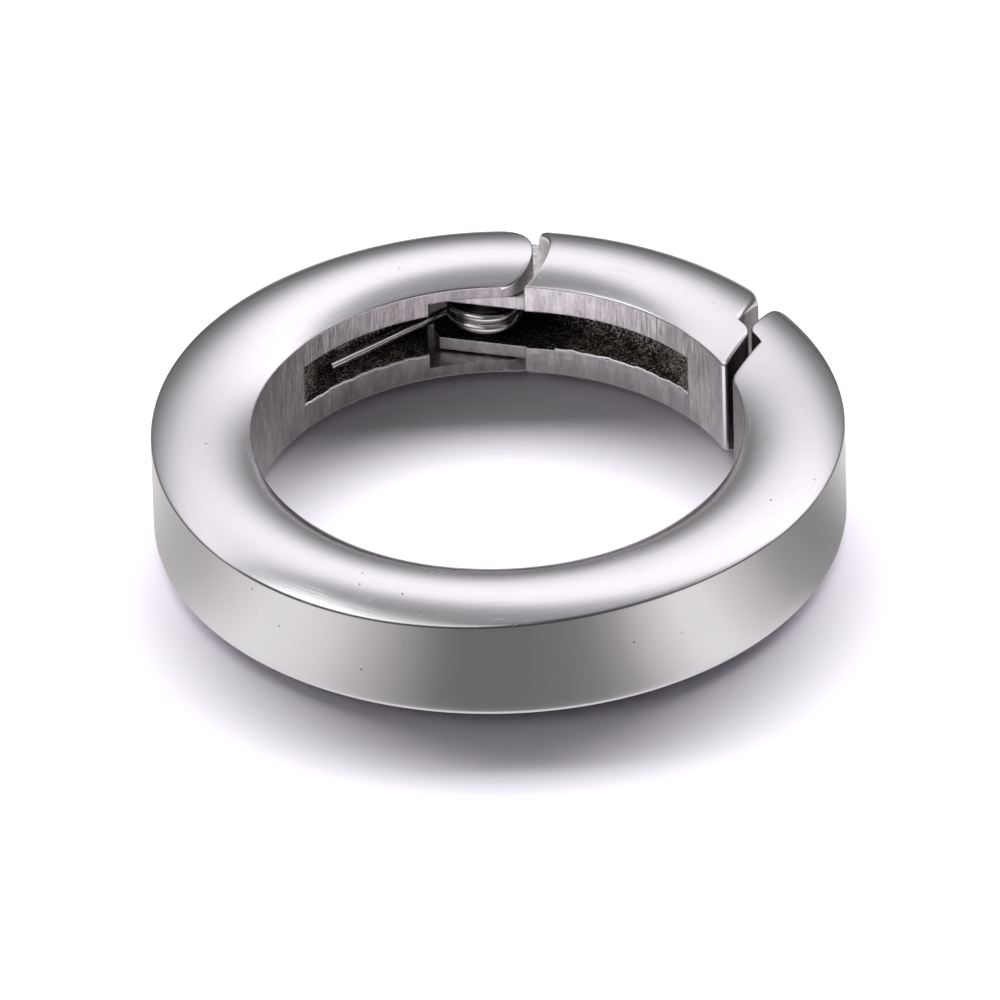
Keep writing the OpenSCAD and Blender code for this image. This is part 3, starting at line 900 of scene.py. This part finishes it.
class GATERING_OT_stage(bpy.types.Operator):
    """Set the floor, the studio light and the camera"""

    bl_idname = "gate_ring.stage"
    bl_label = "Stage"

    def execute(self, context):
        self.floor(context)
        self.lights(context)
        self.camera(context)
        context.scene.view_settings.view_transform = "Standard"
        return {"FINISHED"}

    @staticmethod
    def floor(context):
        """A plain pale floor that keeps the shadow and is white away from it, with a painted glow that only
        reflections show: levels by direction, a white rim at the front of the wall, and dark far out.
        """
        half_w = 1.5
        # Painted reflections: a glow on the floor round the ring that only reflections show, like cards; its
        # levels by direction, from the front (0) over the left, the back (180 degrees) and the right to the
        # front again
        reflection_levels = ((0, 0.2), (17, 0.28), (34, 0.72), (48, 1.0), (60, 0.92), (76, 0.6), (92, 0.62),
                       (110, 0.85), (250, 0.85), (262, 0.7), (276, 0.36), (292, 0.38), (300, 0.55),
                       (312, 0.88), (322, 1.0), (335, 0.55), (343, 0.3), (360, 0.2))
        reflection_tint, rim_level, far_share, eye_share = linear("FFFDFC"), 0.9, 0.15, 0.12
        # Distances from the ring's axis between which the painted white rim, the painted glow and the eye's
        # floor fade
        rim_fade, glow_fade, eye_fade = (10.5 * MM, 10.7 * MM), (17 * MM, 24 * MM), (8 * MM, 10.5 * MM)
        # The rim grows between these two places towards the front
        front_fade = (-4 * MM, -8.5 * MM)
        material, tree = new_material("Pale studio floor")
        place = add(tree, "ShaderNodeTexCoord").outputs["Object"]
        axes = add(tree, "ShaderNodeSeparateXYZ", {"Vector": place}).outputs
        far = add(tree, "ShaderNodeVectorMath", {0: place}, operation="LENGTH").outputs["Value"]
        turn = add(tree, "ShaderNodeMath", {0: axes["X"], 1: axes["Y"]}, operation="ARCTAN2").outputs["Value"]
        turn = add(tree, "ShaderNodeMapRange", {
            "Value": turn, "From Min": -math.pi, "From Max": math.pi}).outputs["Result"]
        painted_glow = add(tree, "ShaderNodeValToRGB", {"Fac": turn})
        spread_levels(painted_glow, reflection_levels, 360, reflection_tint)
        # The painted white rim close to the front of the wall gives its lower edge a painted highlight; far
        # out the painted glow is dark, which draws the upper edge
        rim = add(tree, "ShaderNodeMapRange", {
            "Value": far, "From Min": rim_fade[0], "From Max": rim_fade[1],
            "To Min": 1.0, "To Max": 0.0}).outputs["Result"]
        front = add(tree, "ShaderNodeMapRange", {
            "Value": axes["Y"], "From Min": front_fade[0], "From Max": front_fade[1]}).outputs["Result"]
        rim = add(tree, "ShaderNodeMath", {0: rim, 1: front}, operation="MULTIPLY").outputs["Value"]
        painted_glow = add(tree, "ShaderNodeMix", {
            0: rim, 6: painted_glow.outputs["Color"], 7: (rim_level, rim_level, rim_level, 1)}, data_type="RGBA")
        level = add(tree, "ShaderNodeMapRange", {
            "Value": far, "From Min": glow_fade[0], "From Max": glow_fade[1],
            "To Min": 1.0, "To Max": far_share}).outputs["Result"]
        white = add(tree, "ShaderNodeEmission", {
            "Color": painted_glow.outputs[2], "Strength": level}).outputs["Emission"]
        # Only reflections show the painted glow, and it doesn't light the floor by way of the steel
        rays = add(tree, "ShaderNodeLightPath").outputs
        seen = add(tree, "ShaderNodeMath", {
            0: rays["Is Glossy Ray"], 1: rays["Is Transmission Ray"]}, operation="MAXIMUM").outputs["Value"]
        direct = add(tree, "ShaderNodeMath", {
            0: rays["Diffuse Depth"], 1: 0.5}, operation="LESS_THAN").outputs["Value"]
        seen = add(tree, "ShaderNodeMath", {0: seen, 1: direct}, operation="MULTIPLY").outputs["Value"]
        # Inside the ring, reflections show mostly the floor and its shadow as they are
        share = add(tree, "ShaderNodeMapRange", {
            "Value": far, "From Min": eye_fade[0], "From Max": eye_fade[1], "To Min": eye_share},
            interpolation_type="SMOOTHSTEP").outputs["Result"]
        share = add(tree, "ShaderNodeMath", {0: seen, 1: share}, operation="MULTIPLY").outputs["Value"]
        shade = add(tree, "ShaderNodeBsdfDiffuse", {
            "Color": (*context.scene.gate_ring_colours.floor, 1)}).outputs["BSDF"]
        both = add(tree, "ShaderNodeMixShader", {0: share, 1: shade, 2: white}).outputs["Shader"]
        add(tree, "ShaderNodeOutputMaterial", {"Surface": both})
        corners = [(x * half_w, y * half_w, 0) for x, y in ((-1, -1), (1, -1), (1, 1), (-1, 1))]
        floor = mesh_object("studio_floor", corners, [(0, 1, 2, 3)], [material])

    @staticmethod
    def lights(context):
        """A surround that is grey in front and overhead, with a broad soft light high up behind the ring."""
        # Levels from the horizon behind the ring (0) over the top to the camera's side (180 degrees)
        sky_levels = ((0, 0.24), (9, 0.28), (15, 0.38), (28, 0.78), (36, 1.14), (46, 1.38), (58, 1.45),
                      (70, 1.3), (79, 0.75), (90, 0.47), (105, 0.37), (120, 0.2), (140, 0.1), (180, 0.1))
        sky_tint, left_share, right_share, floor_share = linear("FEFDFF"), 0.82, 1.05, 0.3
        fill_way, fill_level = (-0.62, -0.62, 0.48), 0.9
        panel_middle, panel_level = 0.08, 0.75
        softbox_w, softbox_h, softbox_energy = 0.9, 0.22, 5.4
        softbox_rise, softbox_far = math.radians(47), 0.4
        world = bpy.data.worlds.new("Studio surround")
        context.scene.world = world
        world.use_nodes = True
        tree = world.node_tree
        tree.nodes.clear()
        way = add(tree, "ShaderNodeTexCoord").outputs["Generated"]
        axes = add(tree, "ShaderNodeSeparateXYZ", {"Vector": way}).outputs
        tilt = add(tree, "ShaderNodeMath", {0: axes["Z"], 1: axes["Y"]}, operation="ARCTAN2").outputs["Value"]
        share = add(tree, "ShaderNodeMath", {0: tilt, 1: math.pi}, operation="DIVIDE").outputs["Value"]
        ramp = add(tree, "ShaderNodeValToRGB", {"Fac": share})
        brightest = spread_levels(ramp, sky_levels, 180, sky_tint)
        # The light is weaker on the left
        level = add(tree, "ShaderNodeMapRange", {
            "Value": axes["X"], "From Min": -0.6, "From Max": 0.6,
            "To Min": left_share * brightest, "To Max": right_share * brightest}).outputs["Result"]
        # A small fill light low on the camera's left
        near = add(tree, "ShaderNodeVectorMath", {0: way, 1: fill_way}, operation="DOT_PRODUCT")
        fill = add(tree, "ShaderNodeMapRange", {
            "Value": near.outputs["Value"], "From Min": 0.72, "From Max": 0.95, "To Max": fill_level},
            interpolation_type="SMOOTHSTEP").outputs["Result"]
        # White panels at both sides, in front of the ring
        aside = add(tree, "ShaderNodeMath", {
            0: axes["X"], 1: panel_middle}, operation="SUBTRACT").outputs["Value"]
        aside = add(tree, "ShaderNodeMath", {0: aside}, operation="ABSOLUTE").outputs["Value"]
        aside = add(tree, "ShaderNodeMapRange", {
            "Value": aside, "From Min": 0.53, "From Max": 0.77, "To Max": panel_level},
            interpolation_type="SMOOTHSTEP").outputs["Result"]
        ahead = add(tree, "ShaderNodeMapRange", {
            "Value": axes["Y"], "From Min": 0.15, "From Max": -0.1},
            interpolation_type="SMOOTHSTEP").outputs["Result"]
        panels = add(tree, "ShaderNodeMath", {
            0: aside, 1: ahead, 2: fill}, operation="MULTIPLY_ADD").outputs["Value"]
        # They end above the horizon, so that the ring's edges reflect a dark line below them
        above = add(tree, "ShaderNodeMapRange", {
            "Value": axes["Z"], "From Min": 0.3, "From Max": 0.5},
            interpolation_type="SMOOTHSTEP").outputs["Result"]
        panels = add(tree, "ShaderNodeMath", {0: panels, 1: above}, operation="MULTIPLY").outputs["Value"]
        sky = add(tree, "ShaderNodeVectorMath", {0: ramp.outputs["Color"], "Scale": level}, operation="SCALE")
        sky = add(tree, "ShaderNodeVectorMath", {0: sky.outputs["Vector"], 1: panels}, operation="ADD")
        rays = add(tree, "ShaderNodeLightPath").outputs
        # The floor's own light is mostly the softbox's, which keeps the shadow deep
        strength = add(tree, "ShaderNodeMapRange", {
            "Value": rays["Diffuse Depth"], "To Min": 1.0, "To Max": floor_share}).outputs["Result"]
        light = add(tree, "ShaderNodeBackground", {"Color": sky.outputs["Vector"], "Strength": strength})
        white = add(tree, "ShaderNodeBackground", {"Color": (1, 1, 1, 1), "Strength": 1.0})
        seen = add(tree, "ShaderNodeMixShader", {
            0: rays["Is Camera Ray"], 1: light.outputs["Background"], 2: white.outputs["Background"]})
        add(tree, "ShaderNodeOutputWorld", {"Surface": seen.outputs["Shader"]})
        # A softbox for the floor and its shadow, kept out of the reflections
        lamp = bpy.data.lights.new("Floor softbox", "AREA")
        lamp.shape = "RECTANGLE"
        lamp.size, lamp.size_y = softbox_w, softbox_h
        lamp.energy = softbox_energy
        holder = bpy.data.objects.new("Floor softbox", lamp)
        place = Vector((0, math.cos(softbox_rise), math.sin(softbox_rise))) * softbox_far
        holder.location = place
        holder.rotation_euler = place.to_track_quat("Z", "Y").to_euler()
        holder.visible_glossy = False
        context.scene.collection.objects.link(holder)

    @staticmethod
    def camera(context):
        """The photograph's view: a long lens from above, a little to the left, with a slight roll."""
        rise, heading, roll = math.radians(35.0), math.radians(-91.9), math.radians(-1.65)
        distance, centre_px = 0.4612, (498.9, 468.6)
        m_per_px = distance / FOCAL_PX
        back = Vector((math.cos(rise) * math.cos(heading), math.cos(rise) * math.sin(heading),
                       math.sin(rise)))
        right = Vector((-math.sin(heading), math.cos(heading), 0))
        up = back.cross(right)
        right, up = (right * math.cos(roll) + up * math.sin(roll),
                     up * math.cos(roll) - right * math.sin(roll))
        aim = Vector((0, 0, (CAD_BOX[0].z + CAD_BOX[1].z) / 2))
        aim += right * (FRAME_PX / 2 - centre_px[0]) * m_per_px
        aim += up * (centre_px[1] - FRAME_PX / 2) * m_per_px
        lens = bpy.data.cameras.new("Photo camera")
        lens.sensor_width = 36
        lens.lens = FOCAL_PX / FRAME_PX * lens.sensor_width
        lens.clip_start, lens.clip_end = 0.01, 10
        camera = bpy.data.objects.new("Photo camera", lens)
        turn = Matrix((right, up, back)).transposed().to_4x4()
        camera.matrix_world = Matrix.Translation(aim + back * distance) @ turn
        context.scene.collection.objects.link(camera)
        context.scene.camera = camera


class GATERING_PT_panel(bpy.types.Panel):
    """Lists the sizes, the colours and the steps that build the ring"""

    bl_idname = "GATERING_PT_panel"
    bl_label = "Spring gate ring"
    bl_space_type = "VIEW_3D"
    bl_region_type = "UI"
    bl_category = "Gate Ring"

    def draw(self, context):
        for step in STEPS:
            self.layout.operator(step.bl_idname)
        for group in (context.scene.gate_ring_sizes, context.scene.gate_ring_colours):
            column = self.layout.column(align=True)
            for key in group.__annotations__:
                column.prop(group, key)


STEPS = (GATERING_OT_body, GATERING_OT_gate, GATERING_OT_burrs, GATERING_OT_spring, GATERING_OT_pin,
         GATERING_OT_stage)
CLASSES = (GateRingSizes, GateRingColours, *STEPS, GATERING_PT_panel)


def register():
    for item in CLASSES:
        bpy.utils.register_class(item)
    bpy.types.Scene.gate_ring_sizes = PointerProperty(type=GateRingSizes)
    bpy.types.Scene.gate_ring_colours = PointerProperty(type=GateRingColours)


def unregister():
    del bpy.types.Scene.gate_ring_colours
    del bpy.types.Scene.gate_ring_sizes
    for item in reversed(CLASSES):
        bpy.utils.unregister_class(item)


def main():
    register()
    bpy.ops.gate_ring.body()
    bpy.ops.gate_ring.gate()
    bpy.ops.gate_ring.burrs()
    bpy.ops.gate_ring.spring()
    bpy.ops.gate_ring.pin()
    bpy.ops.gate_ring.stage()
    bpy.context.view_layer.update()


if __name__ == "__main__":
    main()
